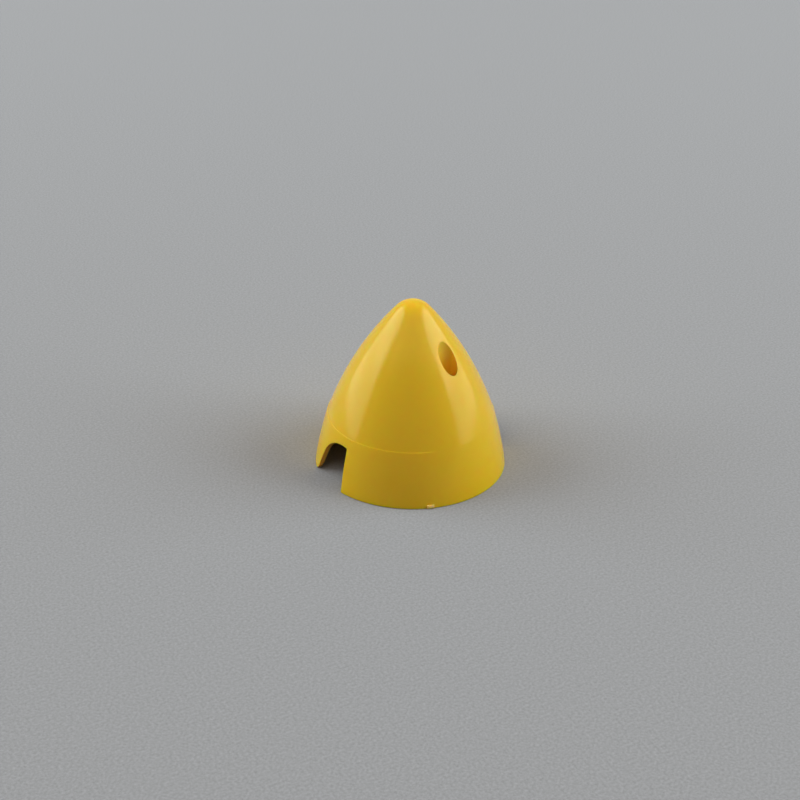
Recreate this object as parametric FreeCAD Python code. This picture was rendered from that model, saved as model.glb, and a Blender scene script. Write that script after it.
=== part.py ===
"""Cone of a two-blade model aircraft propeller spinner: one injection moulding, open at the base.

Millimetres. The origin is the centre of the base rim, +Z runs along the axis to the nose, and +X
points out through the middle of one blade notch. The whole cone repeats every half turn about Z.
"""
import FreeCAD, Part
import math
import os

V = FreeCAD.Vector
ORIGIN = V(0, 0, 0)
UP = V(0, 0, 1)

# Outside: a slightly bowed skirt, a fine step, an ogive and a round nose
BASE_RADIUS = 28.5
HEIGHT = 52.6
SKIRT_HEIGHT = 16.6
SKIRT_BOW = 0.27
STEP_WIDTH = 0.2
STEP_CHAMFER = 0.1
OGIVE_RADIUS = 101.0
NOSE_RADIUS = 6.8
NOSE_BLEND_ANGLE = 41.3
RIM_CHAMFER = 0.2

# Inside: an even wall, a thicker nose, and a land that a backplate seats in
WALL = 1.5
CORE_NOSE_RADIUS = 8.0
CORE_FOOT_RADIUS = 26.6
REGISTER_RADIUS = 26.95
REGISTER_DEPTH = 2.4

# Blade notches: one steep side, and one that sweeps up into the crown
NOTCH_WIDTH = 14.3
NOTCH_HEIGHT = 13.8
STEEP_SIDE_ANGLE = 2.7
SWEPT_SIDE_ANGLE = 21.0
STEEP_CROWN_RADIUS = 0.6
SWEPT_CROWN_RADIUS = 9.5
STEEP_FOOT_RADIUS = 0.6
SWEPT_FOOT_RADIUS = 4.0
NOTCH_TAPER = 7.0
NOTCH_PLANE = 26.0
NOTCH_REACH = 5.0

# Screw towers: a pocket down to a seat, and a clearance hole for an M3 screw
TOWER_ANGLE = 107.7
TOWER_OFFSET = 13.7
TOWER_FOOT = 3.0
TOWER_WALL = 1.2
TOWER_DRAFT = 0.6
POCKET_RADIUS = 2.9
POCKET_DRAFT = 0.2
POCKET_CHAMFER = 0.2
SEAT_HEIGHT = 6.0
SCREW_HOLE_RADIUS = 1.6
WEB_THICKNESS = 1.3
WEB_FOOT = 5.0

# Stub left where the runner was cut off the rim
GATE_ANGLE = 72.0
GATE_WIDTH = 2.0
GATE_BOTTOM = 0.2
GATE_TOP = 1.2
GATE_PROUD = 0.5
GATE_SLANT = 0.35

# How far a cutter runs past what it cuts
CLEAR = 3.0


def tangent(degrees):
    return math.tan(math.radians(degrees))


def turned(shape, degrees):
    result = shape.copy()
    result.rotate(ORIGIN, UP, degrees)
    return result


def both_halves(shape):
    """The shape and its twin, half a turn round."""
    return [shape, turned(shape, 180)]


def point_at(centre, radius, degrees):
    """A point of a circle in the XZ plane, at an angle up from +X."""
    angle = math.radians(degrees)
    return centre + V(math.cos(angle), 0, math.sin(angle)) * radius


def arc_about(centre, radius, start, end):
    angles = (start, (start + end) / 2, end)
    return Part.Arc(*[point_at(centre, radius, a) for a in angles]).toShape()


def bowed_line(foot, head):
    """An arc from foot to head that stands SKIRT_BOW outside the straight line between them."""
    along = (head - foot).normalize()
    outward = V(along.z, 0, -along.x)
    return Part.Arc(foot, (foot + head) / 2 + outward * SKIRT_BOW, head).toShape()


def revolved(edges):
    """The solid of a profile that starts and ends on the Z axis."""
    ends = [edges[-1].lastVertex(True).Point, edges[0].firstVertex(True).Point]
    wire = Part.Wire(edges + [Part.makeLine(*ends)])
    return Part.Face(wire).revolve(ORIGIN, UP, 360)


def ogive_centre():
    """The outer and the inner ogive both swing about this point, which keeps the wall even."""
    nose_centre = V(0, 0, HEIGHT - NOSE_RADIUS)
    return point_at(nose_centre, NOSE_RADIUS - OGIVE_RADIUS, NOSE_BLEND_ANGLE)


def angle_at_height(radius, height):
    return math.degrees(math.asin((height - ogive_centre().z) / radius))


def outer_form():
    centre = ogive_centre()
    step_angle = angle_at_height(OGIVE_RADIUS, SKIRT_HEIGHT)
    step_inside = point_at(centre, OGIVE_RADIUS, step_angle)
    step_outside = step_inside + V(STEP_WIDTH - STEP_CHAMFER, 0, 0)
    skirt_head = step_inside + V(STEP_WIDTH, 0, -STEP_CHAMFER)
    rim_inside = V(BASE_RADIUS - RIM_CHAMFER, 0, 0)
    skirt_foot = V(BASE_RADIUS, 0, RIM_CHAMFER)
    return revolved([
        Part.makeLine(ORIGIN, rim_inside),
        Part.makeLine(rim_inside, skirt_foot),
        bowed_line(skirt_foot, skirt_head),
        Part.makeLine(skirt_head, step_outside),
        Part.makeLine(step_outside, step_inside),
        arc_about(centre, OGIVE_RADIUS, step_angle, NOSE_BLEND_ANGLE),
        arc_about(V(0, 0, HEIGHT - NOSE_RADIUS), NOSE_RADIUS, NOSE_BLEND_ANGLE, 90),
    ])


def core_form():
    """The hollow: a straight register land, the skirt and ogive less the wall, and a blunt nose."""
    centre = ogive_centre()
    radius = OGIVE_RADIUS - WALL
    reach = radius - CORE_NOSE_RADIUS
    nose_centre = V(0, 0, centre.z + math.sqrt(reach ** 2 - centre.x ** 2))
    blend_angle = math.degrees(math.acos(-centre.x / reach))
    head_angle = angle_at_height(radius, SKIRT_HEIGHT)
    land_foot = V(REGISTER_RADIUS, 0, 0)
    land_head = V(REGISTER_RADIUS, 0, REGISTER_DEPTH)
    skirt_foot = V(CORE_FOOT_RADIUS, 0, REGISTER_DEPTH)
    return revolved([
        Part.makeLine(ORIGIN, land_foot),
        Part.makeLine(land_foot, land_head),
        Part.makeLine(land_head, skirt_foot),
        bowed_line(skirt_foot, point_at(centre, radius, head_angle)),
        arc_about(centre, radius, head_angle, blend_angle),
        arc_about(nose_centre, CORE_NOSE_RADIUS, blend_angle, 90),
    ])


def tower_form():
    """The post round one screw pocket, and the web that ties it to the wall."""
    height = HEIGHT - TOWER_FOOT
    foot_radius = POCKET_RADIUS + TOWER_WALL
    head_radius = foot_radius + height * tangent(TOWER_DRAFT)
    post = Part.makeCone(foot_radius, head_radius, height, V(TOWER_OFFSET, 0, TOWER_FOOT))
    corner = V(TOWER_OFFSET, -WEB_THICKNESS / 2, WEB_FOOT)
    web = Part.makeBox(BASE_RADIUS - TOWER_OFFSET, WEB_THICKNESS, HEIGHT - WEB_FOOT, corner)
    return turned(post.fuse(web), TOWER_ANGLE)


def pocket_form():
    """The screw's way in from outside: the pocket, then the smaller hole below its seat."""
    height = HEIGHT - SEAT_HEIGHT
    seat_radius = POCKET_RADIUS - height * tangent(POCKET_DRAFT)
    pocket = Part.makeCone(seat_radius, POCKET_RADIUS, height, V(TOWER_OFFSET, 0, SEAT_HEIGHT))
    hole = Part.makeCylinder(SCREW_HOLE_RADIUS, SEAT_HEIGHT, V(TOWER_OFFSET, 0, 0))
    return turned(pocket.fuse(hole), TOWER_ANGLE)


def notch_corners(x):
    """The notch's four corners in the plane at x. It narrows towards the axis by its taper."""
    inset = (NOTCH_PLANE - x) * tangent(NOTCH_TAPER)
    half = NOTCH_WIDTH / 2 - inset
    bottom, top = -CLEAR, NOTCH_HEIGHT - inset
    return [
        V(x, half - bottom * tangent(STEEP_SIDE_ANGLE), bottom),
        V(x, half - top * tangent(STEEP_SIDE_ANGLE), top),
        V(x, top * tangent(SWEPT_SIDE_ANGLE) - half, top),
        V(x, bottom * tangent(SWEPT_SIDE_ANGLE) - half, bottom),
    ]


def flat_face(corners):
    return Part.Face(Part.makePolygon(corners + corners[:1]))


def notch_form():
    inside = notch_corners(NOTCH_PLANE - NOTCH_REACH)
    outside = notch_corners(NOTCH_PLANE + NOTCH_REACH)
    sides = [[inside[i - 1], inside[i], outside[i], outside[i - 1]] for i in range(len(inside))]
    block = Part.Solid(Part.Shell([flat_face(c) for c in [inside[::-1], outside] + sides]))
    crown = [e for e in block.Edges if e.CenterOfMass.z > 0 and e.BoundBox.XLength > NOTCH_REACH]
    steep = [e for e in crown if e.CenterOfMass.y > 0]
    swept = [e for e in crown if e.CenterOfMass.y < 0]
    return block.makeFillet(STEEP_CROWN_RADIUS, steep).makeFillet(SWEPT_CROWN_RADIUS, swept)


def gate_stub():
    """A sliver of the runner, cut off at a slant."""
    inside = BASE_RADIUS - WALL / 2
    outside = BASE_RADIUS + GATE_PROUD
    side = -GATE_WIDTH / 2
    outline = Part.makePolygon([
        V(inside, side, GATE_BOTTOM),
        V(outside, side, GATE_BOTTOM),
        V(outside - GATE_SLANT, side, GATE_TOP),
        V(inside, side, GATE_TOP),
        V(inside, side, GATE_BOTTOM),
    ])
    return turned(Part.Face(outline).extrude(V(0, GATE_WIDTH, 0)), GATE_ANGLE)


def with_rounded_feet(cone):
    """Rounds the corners where the notch sides meet the rim."""
    feet = [e for e in cone.Edges if e.BoundBox.ZMax < RIM_CHAMFER / 2 and e.Length < 2 * WALL]
    steep = [e for e in feet if e.CenterOfMass.x * e.CenterOfMass.y > 0]
    swept = [e for e in feet if e.CenterOfMass.x * e.CenterOfMass.y < 0]
    return cone.makeFillet(STEEP_FOOT_RADIUS, steep).makeFillet(SWEPT_FOOT_RADIUS, swept)


def off_axis(edge):
    centre = edge.BoundBox.Center
    return math.hypot(centre.x, centre.y) > POCKET_RADIUS


def with_broken_pockets(cone):
    """Breaks the sharp edge where each pocket comes out through the ogive."""
    rings = [e for e in cone.Edges if e.isClosed() and e.BoundBox.ZMin > HEIGHT / 2]
    return cone.makeChamfer(POCKET_CHAMFER, [e for e in rings if off_axis(e)])


def spinner_cone():
    hollow = core_form().cut(both_halves(tower_form()))
    cone = outer_form().cut(hollow)
    cone = cone.cut(both_halves(pocket_form()) + both_halves(notch_form()))
    cone = with_broken_pockets(with_rounded_feet(cone))
    return cone.fuse(gate_stub()).removeSplitter().Solids[0]


if __name__ == "__main__":
    os.makedirs("parts", exist_ok=True)
    spinner_cone().exportStep("parts/spinner_cone.step")
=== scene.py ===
"""Looks of the two-blade propeller spinner cone: the moulded shell, its plastic and a plain studio.

Laid out as an add-on. Every size is in metres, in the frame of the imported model: the origin is the
centre of the base rim, +Z runs to the nose, and +X points out through one blade notch.
"""
import math
import random

import bmesh
import bpy
from bpy.props import FloatProperty, FloatVectorProperty, PointerProperty
from mathutils import Matrix, Vector
from mathutils.kdtree import KDTree


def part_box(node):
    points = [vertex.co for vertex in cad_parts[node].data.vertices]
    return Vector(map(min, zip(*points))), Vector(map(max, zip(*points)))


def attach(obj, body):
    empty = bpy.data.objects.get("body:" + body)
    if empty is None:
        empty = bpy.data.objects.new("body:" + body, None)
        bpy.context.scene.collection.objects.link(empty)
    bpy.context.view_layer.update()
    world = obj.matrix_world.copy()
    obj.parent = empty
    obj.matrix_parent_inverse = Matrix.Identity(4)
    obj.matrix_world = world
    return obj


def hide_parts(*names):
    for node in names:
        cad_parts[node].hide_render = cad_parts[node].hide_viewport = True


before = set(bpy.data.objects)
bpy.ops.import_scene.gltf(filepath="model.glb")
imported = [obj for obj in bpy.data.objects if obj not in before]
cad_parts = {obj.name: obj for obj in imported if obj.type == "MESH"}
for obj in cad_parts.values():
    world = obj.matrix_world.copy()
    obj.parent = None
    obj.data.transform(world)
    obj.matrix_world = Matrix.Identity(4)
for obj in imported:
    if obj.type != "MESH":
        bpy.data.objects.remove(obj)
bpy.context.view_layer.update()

bl_info = {
    "name": "Propeller Spinner Cone",
    "version": (1, 0, 0),
    "blender": (4, 5, 0),
    "location": "3D View > Sidebar > Spinner",
    "description": "Builds a moulded two-blade spinner cone and a plain studio round it",
    "category": "Object",
}

MM = 0.001
CONE_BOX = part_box("spinner_cone")
BASE_RADIUS = round(CONE_BOX[1].y, 4)
HEIGHT = round(CONE_BOX[1].z, 4)

# Outline of the moulding, outside and inside
SKIRT_BOW = 0.27 * MM
RIM_CHAMFER = 0.2 * MM
STEP_EDGE_RADIUS = 0.1 * MM
NOSE_BLEND = math.radians(41.3)
CORE_NOSE_RADIUS = 8 * MM
CORE_FOOT_RADIUS = 26.6 * MM
REGISTER_RADIUS = 26.95 * MM
REGISTER_DEPTH = 2.4 * MM

# Blade notches
STEEP_SIDE = math.radians(2.7)
SWEPT_SIDE = math.radians(21)
STEEP_CROWN_RADIUS = 0.6 * MM
STEEP_FOOT_RADIUS = 0.6 * MM
SWEPT_FOOT_RADIUS = 4 * MM
NOTCH_TAPER = math.radians(7)
NOTCH_PLANE = 26 * MM
NOTCH_REACH = 5 * MM

# Screw towers
TOWER_FOOT = 3 * MM
TOWER_WALL = 1.2 * MM
TOWER_DRAFT = math.radians(0.6)
POCKET_DRAFT = math.radians(0.2)
WEB_THICKNESS = 1.3 * MM
WEB_FOOT = 5 * MM

# Gate stub on the rim
GATE_ANGLE = math.radians(72)
GATE_BOTTOM = 0.2 * MM
GATE_TOP = 1.2 * MM
GATE_PROUD = 0.5 * MM
GATE_SLANT = 0.35 * MM
GATE_UNDERCUT = 0.9
GATE_TEAR = (-0.05, 0.12)
GATE_SAG = 0.08
GATE_CUTS = 5

# Where the step dies away: how much of it, the middle and half width of that stretch, and its ends
STEP_FADE = 0.86
STEP_FADE_ANGLE = math.radians(115)
STEP_FADE_HALF = math.radians(37)
STEP_FADE_END = math.radians(7)

# Fineness of the mesh, and how far a tool runs past what it cuts
TURNS = 240
ROUND = 64
RAISED = math.radians(90)
FOOT_LIP = math.radians(2)
CLEAR = 3 * MM
SAME_POINT = 0.001 * MM
SLIVER = 0.002 * MM
SHORTEST_EDGE = 0.09 * MM
ROUND_STEPS = 2
ROUND_CLEARANCE = 1.8
FLAT_CORNER = math.radians(34)
SHARP_CORNER = math.radians(38)
SHAPED = math.radians(12)
GATE_SEED = 7

# The finishes that the mould leaves on the one plastic, in the order of the material slots; the
# core, pocket and notch faces also carry painted bounce light in their colour, and the gate stub a
# painted highlight
FINISHES = ("polished_skin", "core_side", "pocket_wall", "notch_cut", "torn_gate")
POLISHED, CORE, POCKET, NOTCH, GATE = range(len(FINISHES))

# The plastic: how it bends light, and how far each colour wanders in it as a share of the soak
REFRACTION = 1.5
SOAK_BY_COLOUR = (1.0, 0.40, 0.07)

# Camera and studio, with directions round from +X
CAMERA_PLACE = (206.80 * MM, 351.52 * MM, 244.14 * MM)
CAMERA_HEADING = math.radians(60)
CAMERA_PITCH = math.radians(28.79)
CAMERA_ROLL = math.radians(0.89)
CAMERA_LENS = 70.85
PANEL_DISTANCE = 1.5
FLOOR_RADIUS = 1.35
FLOOR_SIDES = 96
MOTTLE_FINENESS = 1400.0


def length(name, description, default):
    return FloatProperty(name=name, description=description, default=default, min=0, precision=5,
                         unit="LENGTH")


def angle(name, description, degrees):
    return FloatProperty(name=name, description=description, default=math.radians(degrees),
                         subtype="ANGLE")


def factor(name, description, default):
    return FloatProperty(name=name, description=description, default=default, min=0, max=1,
                         subtype="FACTOR")


def colour(name, description, default):
    return FloatVectorProperty(name=name, description=description, default=default, size=3,
                               min=0, max=1, subtype="COLOR")


def brightness(name, description, default):
    return FloatProperty(name=name, description=description, default=default, min=0)


class SpinnerShape(bpy.types.PropertyGroup):
    """Sizes of the moulding."""
    base_radius: length("Base radius", "Radius of the rim", BASE_RADIUS)
    height: length("Height", "From the rim to the tip of the nose", HEIGHT)
    skirt_height: length("Skirt height", "From the rim to the fine step", 16.6 * MM)
    step_width: length("Step width", "How far the skirt stands proud of the ogive", 0.2 * MM)
    ogive_radius: length("Ogive radius", "Radius of the long curve of the side", 101 * MM)
    nose_radius: length("Nose radius", "Radius of the round tip", 6.8 * MM)
    wall: length("Wall", "Thickness of the shell", 1.5 * MM)
    edge_round: length("Edge round", "Radius on the edges of the openings", 0.1 * MM)
    notch_width: length("Notch width", "Width of a blade notch at the rim", 14.3 * MM)
    notch_height: length("Notch height", "Height of a blade notch", 13.8 * MM)
    crown_radius: length("Crown radius", "Radius of the notch's swept corner", 9.5 * MM)
    pocket_angle: angle("Pocket angle", "Where the first screw pocket is, round from +X", 107.7)
    pocket_offset: length("Pocket offset", "From the axis to a screw pocket", 13.7 * MM)
    pocket_radius: length("Pocket radius", "Radius of a screw pocket", 2.9 * MM)
    pocket_edge: length("Pocket edge", "Radius on the mouth of a screw pocket", 0.14 * MM)
    seat_height: length("Seat height", "From the rim to the seat of the screw's head", 6 * MM)
    screw_hole: length("Screw hole radius", "Radius of the hole below the seat", 1.6 * MM)
    gate_width: length("Gate width", "Width of the stub that the runner left", 2 * MM)


class SpinnerFinish(bpy.types.PropertyGroup):
    """Colours and gloss of the plastic."""
    yellow: colour("Yellow", "Colour of the plastic", (0.95, 0.597, 0.016))
    # Painted bounce light: the core, pocket and notch faces take this brighter, warmer yellow in
    # place of light bouncing about inside them.
    bounce_lit_yellow: colour("Warm yellow", "Colour where light bounces about inside", (1.0, 0.63, 0.05))
    # Paler plastic where the runner was cut off, made paler still as a painted highlight for the
    # light that the stub's top catches.
    torn_highlit_yellow: colour("Torn yellow", "Colour where the runner was cut off", (0.92, 0.70, 0.22))
    sheen: colour("Sheen", "Colour of the reflections seen straight on", (1.0, 0.84, 0.50))
    gloss: factor("Roughness", "Roughness of the polished outside", 0.18)
    dull: factor("Core roughness", "Roughness of the inside", 0.38)
    glow: factor("Glow", "How much light soaks into the plastic", 0.9)
    soak: length("Soak", "How far red light wanders in the plastic", 1.8 * MM)


class SpinnerStage(bpy.types.PropertyGroup):
    """The floor and the light."""
    floor_grey: colour("Floor", "Colour of the floor as it is seen", (0.435, 0.455, 0.49))
    floor_bounce: colour("Floor bounce", "Colour of the light that the floor returns",
                         (0.15, 0.13, 0.105))
    backdrop: colour("Backdrop", "Colour of the backdrop as it is seen", (0.42, 0.43, 0.44))
    mottle: factor("Floor mottle", "Strength of the fine mottle on the floor", 0.7)
    panel_tint: colour("Panel tint", "Colour of the side panels", (0.94, 1.0, 1.0))
    right_panel: brightness("Right panel", "Brightness of the upper right panel", 3.6)
    right_low: brightness("Right low panel", "Brightness of the lower right panel", 1.65)
    left_panel: brightness("Left panel", "Brightness of the upper left panel", 3.5)
    left_low: brightness("Left low panel", "Brightness of the lower left panel", 1.8)
    front_panel: brightness("Front panel", "Brightness of the dim panel over the front", 0.65)
    low_tint: colour("Low tint", "Colour of the room's light at floor level", (1.0, 0.60, 0.32))
    high_tint: colour("High tint", "Colour of the room's light overhead", (1.0, 0.92, 0.82))
    low_light: brightness("Low light", "Brightness of the room at floor level", 0.10)
    high_light: brightness("High light", "Brightness of the room overhead", 0.34)
    back_light: brightness("Back light", "Extra brightness behind the cone", 0.6)


def at(pole, radius, turn):
    """A point of the outline, by radius and turn about a pole at (distance from axis, height)."""
    return Vector((pole[0] + radius * math.cos(turn), pole[1] + radius * math.sin(turn)))


def swept(pole, radius, start, end, steps):
    return [at(pole, radius, start + (end - start) * i / steps) for i in range(steps + 1)]


def bowed(foot, head, bow, steps):
    """Points of a shallow arc from foot to head that stands out by bow at its middle."""
    along = head - foot
    outward = Vector((along.y, -along.x)).normalized()
    shares = [i / steps for i in range(steps + 1)]
    return [foot + along * s + outward * bow * 4 * s * (1 - s) for s in shares]


def ogive_pole(shape):
    nose = (0, shape.height - shape.nose_radius)
    return at(nose, shape.nose_radius - shape.ogive_radius, NOSE_BLEND)


def turn_at_height(shape, radius, height):
    return math.asin((height - ogive_pole(shape).y) / radius)


def outer_outline(shape):
    pole = ogive_pole(shape)
    step_turn = turn_at_height(shape, shape.ogive_radius, shape.skirt_height)
    step_inside = at(pole, shape.ogive_radius, step_turn)
    edge_pole = step_inside + Vector((shape.step_width - STEP_EDGE_RADIUS, -STEP_EDGE_RADIUS))
    skirt_foot = Vector((shape.base_radius, RIM_CHAMFER))
    nose = (0, shape.height - shape.nose_radius)
    return (
        [Vector((0, 0)), Vector((shape.base_radius - RIM_CHAMFER, 0))]
        + bowed(skirt_foot, at(edge_pole, STEP_EDGE_RADIUS, 0), SKIRT_BOW, 20)
        + swept(edge_pole, STEP_EDGE_RADIUS, 0, RAISED, 4)[1:]
        + swept(pole, shape.ogive_radius, step_turn, NOSE_BLEND, 48)
        + swept(nose, shape.nose_radius, NOSE_BLEND, RAISED, 12)[1:]
    )


def core_outline(shape):
    pole = ogive_pole(shape)
    radius = shape.ogive_radius - shape.wall
    reach = radius - CORE_NOSE_RADIUS
    nose = (0, pole.y + math.sqrt(reach ** 2 - pole.x ** 2))
    blend = math.acos(-pole.x / reach)
    head_turn = turn_at_height(shape, radius, shape.skirt_height)
    skirt_foot = Vector((CORE_FOOT_RADIUS, REGISTER_DEPTH))
    land = [Vector((REGISTER_RADIUS, -CLEAR)), Vector((REGISTER_RADIUS, REGISTER_DEPTH))]
    return (
        [Vector((0, -CLEAR))] + land
        + bowed(skirt_foot, at(pole, radius, head_turn), SKIRT_BOW, 16)
        + swept(pole, radius, head_turn, blend, 36)[1:]
        + swept(nose, CORE_NOSE_RADIUS, blend, RAISED, 10)[1:]
    )


def new_mesh(outlines=()):
    """An empty bmesh, or one with a chain of edges through each outline's points."""
    bm = bmesh.new()
    for outline in outlines:
        points = [bm.verts.new(p) for p in outline]
        for pair in zip(points, points[1:]):
            bm.edges.new(pair)
    return bm


def spun(outline):
    """The closed solid that an outline makes when it is turned about the Z axis."""
    bm = new_mesh([[(p.x, 0, p.y) for p in outline]])
    bmesh.ops.spin(bm, geom=bm.verts[:] + bm.edges[:], cent=(0, 0, 0), axis=(0, 0, 1),
                   angle=math.tau, steps=TURNS, use_merge=True)
    bmesh.ops.remove_doubles(bm, verts=bm.verts, dist=SAME_POINT)
    return bm


def fade_step(bm, shape):
    """Lets the step die away over an arc of the skirt's head."""
    inside = at(ogive_pole(shape), shape.ogive_radius,
                turn_at_height(shape, shape.ogive_radius, shape.skirt_height)).x
    for vert in bm.verts:
        radius = vert.co.xy.length
        if 0 < vert.co.z <= shape.skirt_height and radius > inside:
            turn = math.atan2(vert.co.y, vert.co.x)
            off = abs((turn - STEP_FADE_ANGLE + math.pi) % math.tau - math.pi)
            fade = STEP_FADE * smooth_share((STEP_FADE_HALF + STEP_FADE_END - off) / STEP_FADE_END)
            share = vert.co.z / shape.skirt_height
            tuck = fade * min(shape.step_width * share ** 2, radius - inside)
            vert.co.xy *= 1 - tuck / radius


def smooth_share(share):
    share = min(max(share, 0), 1)
    return share * share * (3 - 2 * share)


def outer_form(shape):
    bm = spun(outer_outline(shape))
    fade_step(bm, shape)
    return bm


def core_form(shape):
    return spun(core_outline(shape))


def upright_cone(bm, foot, head, foot_radius, head_radius, offset, turn):
    """A straight or tapered post from height foot to height head, off the axis by offset."""
    place = Matrix.Rotation(turn, 4, "Z") @ Matrix.Translation((offset, 0, (foot + head) / 2))
    bmesh.ops.create_cone(bm, cap_ends=True, segments=ROUND, radius1=foot_radius,
                          radius2=head_radius, depth=head - foot, matrix=place)
    return bm


def tower_post(shape, turn):
    foot_radius = shape.pocket_radius + TOWER_WALL
    head_radius = foot_radius + (shape.height - TOWER_FOOT) * math.tan(TOWER_DRAFT)
    return upright_cone(bmesh.new(), TOWER_FOOT, shape.height, foot_radius, head_radius,
                        shape.pocket_offset, turn)


def tower_web(shape, turn):
    """The rib that ties a tower to the wall."""
    size = Vector((shape.base_radius - shape.pocket_offset, WEB_THICKNESS, shape.height - WEB_FOOT))
    middle = Vector((shape.pocket_offset + size.x / 2, 0, WEB_FOOT + size.z / 2))
    place = Matrix.Rotation(turn, 4, "Z") @ Matrix.Translation(middle)
    bm = bmesh.new()
    bmesh.ops.create_cube(bm, size=1, matrix=place @ Matrix.Diagonal(size.to_4d()))
    return bm


def pocket_tool(shape, turn):
    seat_radius = shape.pocket_radius - (shape.height - shape.seat_height) * math.tan(POCKET_DRAFT)
    return upright_cone(bmesh.new(), shape.seat_height, shape.height, seat_radius,
                        shape.pocket_radius, shape.pocket_offset, turn)


def screw_hole_tool(shape, turn):
    return upright_cone(bmesh.new(), -CLEAR, shape.seat_height + WEB_THICKNESS, shape.screw_hole,
                        shape.screw_hole, shape.pocket_offset, turn)


def rounded(corners):
    """A closed outline through corners given as (point, radius, steps), each rounded by an arc."""
    points = []
    for i, (corner, radius, steps) in enumerate(corners):
        if not radius:
            points.append(corner)
            continue
        before = (corners[i - 1][0] - corner).normalized()
        after = (corners[(i + 1) % len(corners)][0] - corner).normalized()
        half = before.angle(after) / 2
        pole = corner + (before + after).normalized() * radius / math.sin(half)
        start = (corner + before * radius / math.tan(half)) - pole
        sweep = start.angle_signed((corner + after * radius / math.tan(half)) - pole)
        points += [pole + Matrix.Rotation(-sweep * k / steps, 2) @ start for k in range(steps + 1)]
    return points


def notch_outline(shape, x):
    """The notch's outline in the plane at x, as (y, z). It narrows towards the axis."""
    inset = (NOTCH_PLANE - x) * math.tan(NOTCH_TAPER)
    half = shape.notch_width / 2 - inset
    top = shape.notch_height - inset
    lip = -CLEAR * math.tan(FOOT_LIP)
    return rounded([
        (Vector((half + CLEAR, -CLEAR)), 0, 0),
        (Vector((half + CLEAR, lip)), 0, 0),
        (Vector((half, 0)), STEEP_FOOT_RADIUS, 6),
        (Vector((half - top * math.tan(STEEP_SIDE), top)), STEEP_CROWN_RADIUS, 6),
        (Vector((top * math.tan(SWEPT_SIDE) - half, top)), shape.crown_radius, 28),
        (Vector((-half, 0)), SWEPT_FOOT_RADIUS, 10),
        (Vector((-half - CLEAR, lip)), 0, 0),
        (Vector((-half - CLEAR, -CLEAR)), 0, 0),
    ])


def notch_tool(shape, turn):
    bm = bmesh.new()
    for x in (NOTCH_PLANE - NOTCH_REACH, NOTCH_PLANE + NOTCH_REACH):
        bm.faces.new([bm.verts.new((x, p.x, p.y)) for p in notch_outline(shape, x)])
    bmesh.ops.bridge_loops(bm, edges=bm.edges[:])
    bmesh.ops.rotate(bm, verts=bm.verts, cent=(0, 0, 0), matrix=Matrix.Rotation(turn, 3, "Z"))
    return bm


def gate_stub(shape):
    """A sliver of the runner, cut off at a slant and left a little rough."""
    inside = shape.base_radius - shape.wall / 2
    outside = shape.base_radius + GATE_PROUD
    size = Vector((outside - inside, shape.gate_width, GATE_TOP - GATE_BOTTOM))
    middle = Vector((inside + size.x / 2, 0, (GATE_BOTTOM + GATE_TOP) / 2))
    block = Matrix.Translation(middle) @ Matrix.Diagonal(size.to_4d())
    bm = bmesh.new()
    bmesh.ops.create_cube(bm, size=1, matrix=block)
    bmesh.ops.subdivide_edges(bm, edges=bm.edges[:], cuts=GATE_CUTS, use_grid_fill=True)
    rough = random.Random(GATE_SEED)
    for vert in bm.verts:
        out = max(0, (vert.co.x - shape.base_radius) / GATE_PROUD)
        rise = (vert.co.z - GATE_BOTTOM) / size.z
        lean = max(rise, GATE_UNDERCUT * (1 - 3 * rise))
        vert.co.x -= out * GATE_SLANT * (lean + rough.uniform(*GATE_TEAR))
        vert.co.z -= out * size.z * rough.uniform(0, GATE_SAG)
    bmesh.ops.rotate(bm, verts=bm.verts, cent=(0, 0, 0), matrix=Matrix.Rotation(GATE_ANGLE, 3, "Z"))
    return bm


def as_object(bm, name, finish):
    """An object of the mesh with every finish in its slots and all its faces in one of them."""
    bmesh.ops.recalc_face_normals(bm, faces=bm.faces)
    for face in bm.faces:
        face.material_index = finish
        face.smooth = True
    mesh = bpy.data.meshes.new(name)
    bm.to_mesh(mesh)
    bm.free()
    for finish_name in FINISHES:
        mesh.materials.append(bpy.data.materials[finish_name])
    made = bpy.data.objects.new(name, mesh)
    bpy.context.scene.collection.objects.link(made)
    return made


def combine(base, operation, tools):
    """Cuts the tools from base, or joins them to it, one after another."""
    for tool in tools:
        step = base.modifiers.new(tool.name, "BOOLEAN")
        step.operation = operation
        step.object = tool
        step.solver = "EXACT"
    bpy.context.view_layer.update()
    depsgraph = bpy.context.evaluated_depsgraph_get()
    result = bpy.data.meshes.new_from_object(base.evaluated_get(depsgraph))
    base.modifiers.clear()
    base.data = result
    for tool in tools:
        bpy.data.objects.remove(tool)


def borders(bm, *finishes):
    """The edges between faces of two finishes."""
    wanted = set(finishes)
    return [e for e in bm.edges if {f.material_index for f in e.link_faces} == wanted]


def tie_mouths(bm):
    """Welds mouth points that meet no edge of the pocket's wall to the nearest that meets one."""
    mouth = {v for e in borders(bm, POLISHED, POCKET) for v in e.verts}
    corners = {v for e in borders(bm, POCKET) for v in e.verts} & mouth
    near = KDTree(len(corners))
    for vertex in corners:
        near.insert(vertex.co, vertex.index)
    near.balance()
    bm.verts.ensure_lookup_table()
    between = [v for v in bm.verts if v in mouth and v not in corners]
    targets = {v: bm.verts[near.find(v.co)[1]] for v in between}
    bmesh.ops.weld_verts(bm, targetmap=targets)


def weld_short_edges(bm, shortest):
    """Welds the ends of very short edges, towards the edges where two finishes meet."""
    between = [e for e in bm.edges if len({f.material_index for f in e.link_faces}) > 1]
    fixed = {v for e in between for v in e.verts}
    targets = {}
    for edge in sorted(bm.edges, key=lambda e: e.calc_length()):
        if edge.calc_length() > shortest:
            break
        keep, drop = sorted(edge.verts, key=lambda v: v not in fixed)
        if keep in targets or drop in targets or drop in targets.values():
            continue
        targets[drop] = keep
    bmesh.ops.weld_verts(bm, targetmap=targets)
    bmesh.ops.dissolve_degenerate(bm, dist=SLIVER, edges=bm.edges[:])


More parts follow.
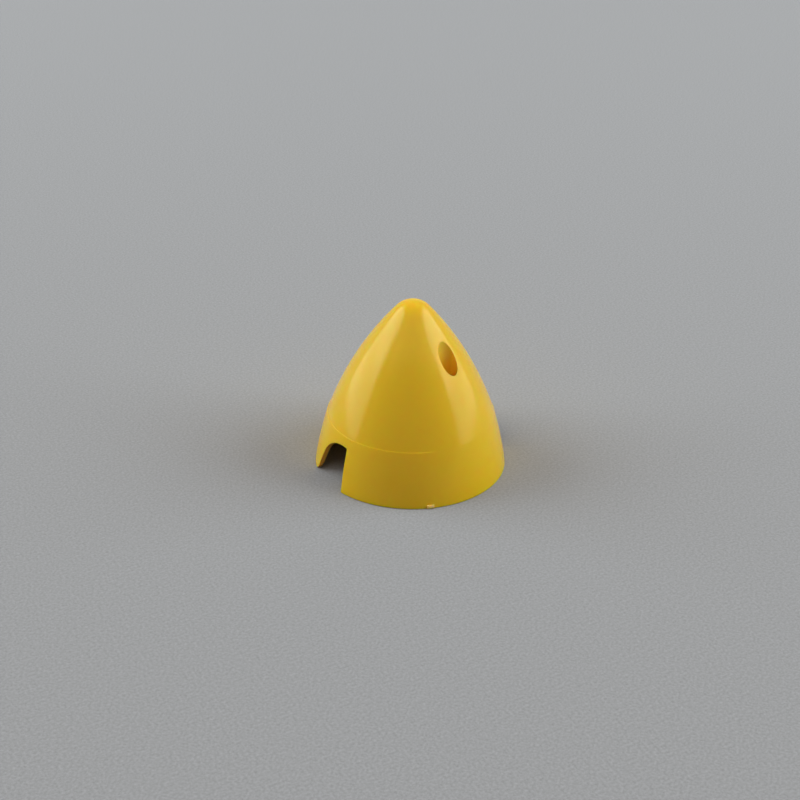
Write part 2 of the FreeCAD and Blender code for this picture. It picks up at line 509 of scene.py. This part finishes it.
def clear_beside(bm, edges, reach):
    """Takes out the points that lie close beside these edges on smooth faces of one finish."""
    near = KDTree(2 * len(edges))
    for i, edge in enumerate(edges):
        near.insert(edge.verts[0].co, 2 * i)
        near.insert((edge.verts[0].co + edge.verts[1].co) / 2, 2 * i + 1)
    near.balance()
    own = {v for e in edges for v in e.verts}
    loose = [
        v for v in bm.verts
        if v not in own
        and near.find(v.co)[2] < reach
        and len({f.material_index for f in v.link_faces}) == 1
        and all(e.calc_face_angle(0) < SHAPED for e in v.link_edges)
    ]
    bmesh.ops.dissolve_verts(bm, verts=loose)


def sharp_borders(bm, pairs):
    """The edges where each pair of finishes meets at a corner."""
    return [e for pair in pairs for e in borders(bm, *pair) if e.calc_face_angle(0) > FLAT_CORNER]


def round_borders(bm, pairs, radius):
    """Rounds the sharp edges where each pair of finishes meets."""
    clear_beside(bm, sharp_borders(bm, pairs), radius * ROUND_CLEARANCE)
    bmesh.ops.bevel(bm, geom=sharp_borders(bm, pairs), offset=radius, offset_type="OFFSET",
                    segments=ROUND_STEPS, profile=0.5, affect="EDGES", clamp_overlap=False,
                    material=-1, loop_slide=True)


def feed(tree, socket, value):
    """Gives a socket its value, or a link where the value is another node's output."""
    if isinstance(value, bpy.types.NodeSocket):
        tree.links.new(value, socket)
    else:
        socket.default_value = value


def node(tree, kind, settings=None, **inputs):
    """A shader node with its settings made and its named inputs given values or links."""
    made = tree.nodes.new(kind)
    for key, value in (settings or {}).items():
        setattr(made, key, value)
    for key, value in inputs.items():
        feed(tree, made.inputs[key.replace("_", " ")], value)
    return made


def new_group(name, inputs, outputs):
    """A node group with sockets given as {name: kind}, and its input and output nodes."""
    tree = bpy.data.node_groups.new(name, "ShaderNodeTree")
    for sockets, side in ((inputs, "INPUT"), (outputs, "OUTPUT")):
        for socket, kind in sockets.items():
            tree.interface.new_socket(name=socket, in_out=side, socket_type="NodeSocket" + kind)
    return tree, tree.nodes.new("NodeGroupInput").outputs, tree.nodes.new("NodeGroupOutput")


def maths(tree, operation, a, b=0.0):
    """The result of a Math node whose two operands are numbers or links."""
    made = tree.nodes.new("ShaderNodeMath")
    made.operation = operation
    for socket, value in zip(made.inputs, (a, b)):
        feed(tree, socket, value)
    return made.outputs[0]


def tone_group():
    """Slow drifts of tone, as pigment leaves them where the plastic flowed."""
    tree, given, result = new_group(
        "pigment tone",
        {"Vector": "Vector", "Colour": "Color", "Drift": "Float"},
        {"Colour": "Color"},
    )
    clouds = node(tree, "ShaderNodeTexNoise", Vector=given["Vector"], Scale=70.0, Detail=3.0,
                  Roughness=0.55, Distortion=0.6)
    swing = maths(tree, "SUBTRACT", clouds.outputs["Fac"], 0.5)
    value = maths(tree, "ADD", maths(tree, "MULTIPLY", swing, given["Drift"]), 1.0)
    tinted = node(tree, "ShaderNodeHueSaturation", Color=given["Colour"], Value=value)
    tree.links.new(tinted.outputs["Color"], result.inputs["Colour"])
    return tree


def grain_group():
    """Height and gloss of a moulded skin: a faint ripple with fine grain on it."""
    tree, given, result = new_group(
        "moulded grain",
        {"Vector": "Vector", "Ripple": "Float", "Grain": "Float", "Roughness": "Float",
         "Unevenness": "Float"},
        {"Height": "Float", "Roughness": "Float"},
    )
    ripple = node(tree, "ShaderNodeTexNoise", Vector=given["Vector"], Scale=190.0, Detail=2.0)
    grain = node(tree, "ShaderNodeTexNoise", Vector=given["Vector"], Scale=2600.0, Detail=3.0,
                 Roughness=0.6)
    smears = node(tree, "ShaderNodeTexNoise", Vector=given["Vector"], Scale=120.0, Detail=5.0,
                  Roughness=0.65, Distortion=1.2)
    height = maths(tree, "ADD", maths(tree, "MULTIPLY", ripple.outputs["Fac"], given["Ripple"]),
                   maths(tree, "MULTIPLY", grain.outputs["Fac"], given["Grain"]))
    swing = maths(tree, "MULTIPLY", maths(tree, "SUBTRACT", smears.outputs["Fac"], 0.5),
                  given["Unevenness"])
    tree.links.new(height, result.inputs["Height"])
    tree.links.new(maths(tree, "ADD", given["Roughness"], swing), result.inputs["Roughness"])
    return tree


def turning_group():
    """Fine rings, as a lathe leaves them on the core that forms the inside."""
    tree, given, result = new_group("turning rings", {"Vector": "Vector", "Depth": "Float"},
                                    {"Height": "Float"})
    rings = node(tree, "ShaderNodeTexWave", {"bands_direction": "Z", "wave_profile": "SIN"},
                 Vector=given["Vector"], Scale=520.0, Distortion=0.4, Detail=2.0)
    tree.links.new(maths(tree, "MULTIPLY", rings.outputs["Fac"], given["Depth"]),
                   result.inputs["Height"])
    return tree


def grouped(tree, group, **inputs):
    made = node(tree, "ShaderNodeGroup", {"node_tree": group})
    for key, value in inputs.items():
        feed(tree, made.inputs[key], value)
    return made.outputs


def plastic(name, groups, finish, yellow, roughness, ripple, grain, rings, unevenness, drift,
            soak):
    """The yellow plastic with one of the mould's finishes on it. Heights are in metres."""
    material = bpy.data.materials.new(name)
    material.use_nodes = True
    tree = material.node_tree
    tree.nodes.clear()
    place = tree.nodes.new("ShaderNodeTexCoord").outputs["Object"]
    tone, skin, lathe = groups
    colour_out = grouped(tree, tone, Vector=place, Colour=(*yellow, 1), Drift=drift)["Colour"]
    surface = grouped(tree, skin, Vector=place, Ripple=ripple, Grain=grain, Roughness=roughness,
                      Unevenness=unevenness)
    ring_height = grouped(tree, lathe, Vector=place, Depth=rings)["Height"]
    bump = node(tree, "ShaderNodeBump", Strength=1.0, Distance=1.0,
                Height=maths(tree, "ADD", surface["Height"], ring_height))
    shader = node(tree, "ShaderNodeBsdfPrincipled", {"subsurface_method": "RANDOM_WALK"},
                  Base_Color=colour_out, Roughness=surface["Roughness"],
                  Normal=bump.outputs["Normal"], IOR=REFRACTION)
    shader.inputs["Subsurface Weight"].default_value = finish.glow
    shader.inputs["Subsurface Radius"].default_value = SOAK_BY_COLOUR
    shader.inputs["Subsurface Scale"].default_value = finish.soak * soak
    shader.inputs["Specular Tint"].default_value = (*finish.sheen, 1)
    output = tree.nodes.new("ShaderNodeOutputMaterial")
    tree.links.new(shader.outputs["BSDF"], output.inputs["Surface"])
    return material


def make_finishes(finish):
    groups = (tone_group(), grain_group(), turning_group())
    # name: colour, roughness, ripple, grain, rings, unevenness, drift, soak
    looks = {
        "polished_skin": (finish.yellow, finish.gloss,
                          0.006 * MM, 0.0003 * MM, 0.0, 0.05, 0.06, 1.0),
        # The core, pocket and notch finishes take the brighter yellow as painted bounce light.
        "core_side": (finish.bounce_lit_yellow, finish.dull,
                      0.01 * MM, 0.001 * MM, 0.006 * MM, 0.10, 0.08, 0.3),
        "pocket_wall": (finish.bounce_lit_yellow, finish.gloss + 0.06,
                        0.004 * MM, 0.0006 * MM, 0.001 * MM, 0.06, 0.05, 0.3),
        "notch_cut": (finish.bounce_lit_yellow, finish.gloss + 0.10,
                      0.004 * MM, 0.0010 * MM, 0.0, 0.08, 0.05, 0.5),
        # The gate's paler yellow is partly a painted highlight.
        "torn_gate": (finish.torn_highlit_yellow, 0.5,
                      0.02 * MM, 0.0060 * MM, 0.0, 0.15, 0.10, 0.4),
    }
    for name in FINISHES:
        plastic(name, groups, finish, *looks[name])


def mould_cone(shape):
    """The whole moulding, cut and joined in the order in which the mould forms it."""
    both = (0, math.pi)
    turns = [shape.pocket_angle + half for half in both]
    hollow = as_object(core_form(shape), "hollow", CORE)
    posts = [as_object(tower_post(shape, t), "post", CORE) for t in turns]
    webs = [as_object(tower_web(shape, t), "web", CORE) for t in turns]
    combine(hollow, "DIFFERENCE", posts + webs)
    cone = as_object(outer_form(shape), "cone_moulding", POLISHED)
    pockets = [as_object(pocket_tool(shape, t), "pocket", POCKET) for t in turns]
    holes = [as_object(screw_hole_tool(shape, t), "hole", POCKET) for t in turns]
    notches = [as_object(notch_tool(shape, half), "notch", NOTCH) for half in both]
    combine(cone, "DIFFERENCE", [hollow] + pockets + holes + notches)
    combine(cone, "UNION", [as_object(gate_stub(shape), "gate", GATE)])
    return cone


def finish_edges(cone, shape):
    bm = bmesh.new()
    bm.from_mesh(cone.data)
    tie_mouths(bm)
    for _ in range(2):
        weld_short_edges(bm, SHORTEST_EDGE)
    round_borders(bm, [(POLISHED, POCKET)], shape.pocket_edge)
    round_borders(bm, [(POLISHED, NOTCH), (CORE, NOTCH)], shape.edge_round)
    for face in bm.faces:
        face.smooth = True
    bm.to_mesh(cone.data)
    bm.free()


class SPINNER_OT_cone(bpy.types.Operator):
    """Build the moulded cone and give it its plastic"""
    bl_idname = "spinner.cone"
    bl_label = "Build Cone"

    def execute(self, context):
        shape = context.scene.spinner_shape
        make_finishes(context.scene.spinner_finish)
        cone = mould_cone(shape)
        finish_edges(cone, shape)
        cone.data.set_sharp_from_angle(angle=SHARP_CORNER)
        even = cone.modifiers.new("even normals", "WEIGHTED_NORMAL")
        even.keep_sharp = True
        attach(cone, "root")
        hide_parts("spinner_cone")
        return {"FINISHED"}


def softbox(name, sides, rises, radiance, tint):
    """A rectangular lamp facing the cone that spans these angles, round from the camera and up."""
    lamp = bpy.data.lights.new(name, "AREA")
    lamp.shape = "RECTANGLE"
    turns, tilts = ([math.radians(a) for a in pair] for pair in (sides, rises))
    lamp.size, lamp.size_y = (2 * PANEL_DISTANCE * math.tan((b - a) / 2) for a, b in (turns, tilts))
    lamp.energy = radiance * math.pi * lamp.size * lamp.size_y
    lamp.color = tint
    box = bpy.data.objects.new(name, lamp)
    bpy.context.scene.collection.objects.link(box)
    turn, rise = CAMERA_HEADING + sum(turns) / 2, sum(tilts) / 2
    level = math.cos(rise)
    away = Vector((math.cos(turn) * level, math.sin(turn) * level, math.sin(rise)))
    box.location = Vector((0, 0, HEIGHT / 2)) + away * PANEL_DISTANCE
    box.rotation_euler = away.to_track_quat("Z", "Y").to_euler()
    box.visible_camera = False


def mixed(tree, factor, first, second):
    """The colour output of a mix of two colours."""
    blend = node(tree, "ShaderNodeMix", {"data_type": "RGBA"})
    for socket, value in ((0, factor), (6, first), (7, second)):
        feed(tree, blend.inputs[socket], value)
    return blend.outputs[2]


def seen_directly(tree):
    """One where the camera or a reflection looks, and nothing where diffuse light is gathered."""
    rays = tree.nodes.new("ShaderNodeLightPath").outputs
    mirrored = maths(tree, "MAXIMUM", rays["Is Glossy Ray"], rays["Is Transmission Ray"])
    return maths(tree, "MAXIMUM", rays["Is Camera Ray"], mirrored)


def floor_material(stage):
    """Matt grey card with a faint mottle. It is clear from below, so that the inside shows."""
    material = bpy.data.materials.new("studio_floor")
    material.use_nodes = True
    tree = material.node_tree
    tree.nodes.clear()
    shade = mixed(tree, seen_directly(tree), (*stage.floor_bounce, 1), (*stage.floor_grey, 1))
    place = tree.nodes.new("ShaderNodeTexCoord").outputs["Object"]
    fibres = node(tree, "ShaderNodeTexNoise", Vector=place, Scale=MOTTLE_FINENESS, Detail=2.0,
                  Roughness=0.7)
    swing = maths(tree, "MULTIPLY", fibres.outputs["Fac"], stage.mottle)
    mottle = maths(tree, "ADD", 1.0 - stage.mottle / 2, swing)
    felt = node(tree, "ShaderNodeHueSaturation", Color=shade, Value=mottle)
    card = node(tree, "ShaderNodeBsdfDiffuse", Color=felt.outputs["Color"], Roughness=1.0)
    below = tree.nodes.new("ShaderNodeNewGeometry").outputs["Backfacing"]
    clear = tree.nodes.new("ShaderNodeBsdfTransparent")
    either = tree.nodes.new("ShaderNodeMixShader")
    tree.links.new(below, either.inputs[0])
    tree.links.new(card.outputs["BSDF"], either.inputs[1])
    tree.links.new(clear.outputs["BSDF"], either.inputs[2])
    output = tree.nodes.new("ShaderNodeOutputMaterial")
    tree.links.new(either.outputs["Shader"], output.inputs["Surface"])
    return material


def lay_floor(stage):
    bm = bmesh.new()
    bmesh.ops.create_circle(bm, cap_ends=True, radius=FLOOR_RADIUS, segments=FLOOR_SIDES)
    mesh = bpy.data.meshes.new("studio_floor")
    bm.to_mesh(mesh)
    bm.free()
    mesh.materials.append(floor_material(stage))
    floor = bpy.data.objects.new("studio_floor", mesh)
    bpy.context.scene.collection.objects.link(floor)


def light_room(stage):
    """A dim, even surround that grows lighter overhead and behind."""
    world = bpy.data.worlds.new("studio")
    bpy.context.scene.world = world
    world.use_nodes = True
    tree = world.node_tree
    tree.nodes.clear()
    way = tree.nodes.new("ShaderNodeTexCoord").outputs["Generated"]
    parts = node(tree, "ShaderNodeSeparateXYZ", Vector=way).outputs
    heading = node(tree, "ShaderNodeVectorMath", {"operation": "DOT_PRODUCT"})
    tree.links.new(way, heading.inputs[0])
    heading.inputs[1].default_value = (-math.cos(CAMERA_HEADING), -math.sin(CAMERA_HEADING), 0)
    lift = node(tree, "ShaderNodeMapRange", Value=parts["Z"], From_Min=0.0, From_Max=1.0,
                To_Min=stage.low_light, To_Max=stage.high_light)
    back = node(tree, "ShaderNodeMapRange", {"interpolation_type": "SMOOTHSTEP"},
                Value=heading.outputs["Value"], From_Min=0.3, From_Max=1.0, To_Min=0.0,
                To_Max=stage.back_light)
    height = maths(tree, "MAXIMUM", parts["Z"])
    tint = mixed(tree, height, (*stage.low_tint, 1), (*stage.high_tint, 1))
    glow = node(tree, "ShaderNodeBackground", Color=tint,
                Strength=maths(tree, "ADD", lift.outputs["Result"], back.outputs["Result"]))
    plain = node(tree, "ShaderNodeBackground", Color=(*stage.backdrop, 1))
    either = tree.nodes.new("ShaderNodeMixShader")
    tree.links.new(seen_directly(tree), either.inputs[0])
    tree.links.new(glow.outputs["Background"], either.inputs[1])
    tree.links.new(plain.outputs["Background"], either.inputs[2])
    output = tree.nodes.new("ShaderNodeOutputWorld")
    tree.links.new(either.outputs["Shader"], output.inputs["Surface"])


def place_camera():
    camera = bpy.data.cameras.new("camera")
    camera.lens = CAMERA_LENS
    camera.clip_start, camera.clip_end = 0.01, 10
    holder = bpy.data.objects.new("camera", camera)
    bpy.context.scene.collection.objects.link(holder)
    holder.matrix_world = (
        Matrix.Translation(CAMERA_PLACE)
        @ Matrix.Rotation(CAMERA_HEADING + RAISED, 4, "Z")
        @ Matrix.Rotation(RAISED - CAMERA_PITCH, 4, "X")
        @ Matrix.Rotation(CAMERA_ROLL, 4, "Z")
    )
    bpy.context.scene.camera = holder


class SPINNER_OT_stage(bpy.types.Operator):
    """Lay the floor, set up the lamps and place the camera"""
    bl_idname = "spinner.stage"
    bl_label = "Build Stage"

    def execute(self, context):
        stage = context.scene.spinner_stage
        lay_floor(stage)
        light_room(stage)
        cool, warm = stage.panel_tint, stage.high_tint
        for name, sides, rises, radiance, tint in (
            ("panel_right", (67, 116), (18, 50), stage.right_panel, cool),
            ("panel_right_low", (67, 116), (-4, 18), stage.right_low, cool),
            ("panel_left", (-124, -75), (20, 52), stage.left_panel, cool),
            ("panel_left_low", (-124, -74), (-4, 20), stage.left_low, cool),
            ("panel_front", (-45, 45), (42, 66), stage.front_panel, warm),
        ):
            softbox(name, sides, rises, radiance, tint)
        place_camera()
        context.scene.view_settings.view_transform = "Standard"
        return {"FINISHED"}


class VIEW3D_PT_spinner(bpy.types.Panel):
    """Sizes, colours and build buttons of the spinner cone."""
    bl_label = "Spinner Cone"
    bl_space_type = "VIEW_3D"
    bl_region_type = "UI"
    bl_category = "Spinner"

    def draw(self, context):
        for group in PROPERTY_GROUPS:
            values = getattr(context.scene, group)
            column = self.layout.column(align=True)
            for name in values.__annotations__:
                column.prop(values, name)
        for operator in (SPINNER_OT_cone, SPINNER_OT_stage):
            self.layout.operator(operator.bl_idname)


PROPERTY_GROUPS = {
    "spinner_shape": SpinnerShape,
    "spinner_finish": SpinnerFinish,
    "spinner_stage": SpinnerStage,
}
CLASSES = (*PROPERTY_GROUPS.values(), SPINNER_OT_cone, SPINNER_OT_stage, VIEW3D_PT_spinner)


def register():
    for item in CLASSES:
        bpy.utils.register_class(item)
    for name, kind in PROPERTY_GROUPS.items():
        setattr(bpy.types.Scene, name, PointerProperty(type=kind))


def unregister():
    for name in PROPERTY_GROUPS:
        delattr(bpy.types.Scene, name)
    for item in reversed(CLASSES):
        bpy.utils.unregister_class(item)


def main():
    register()
    bpy.ops.spinner.cone()
    bpy.ops.spinner.stage()


if __name__ == "__main__":
    main()
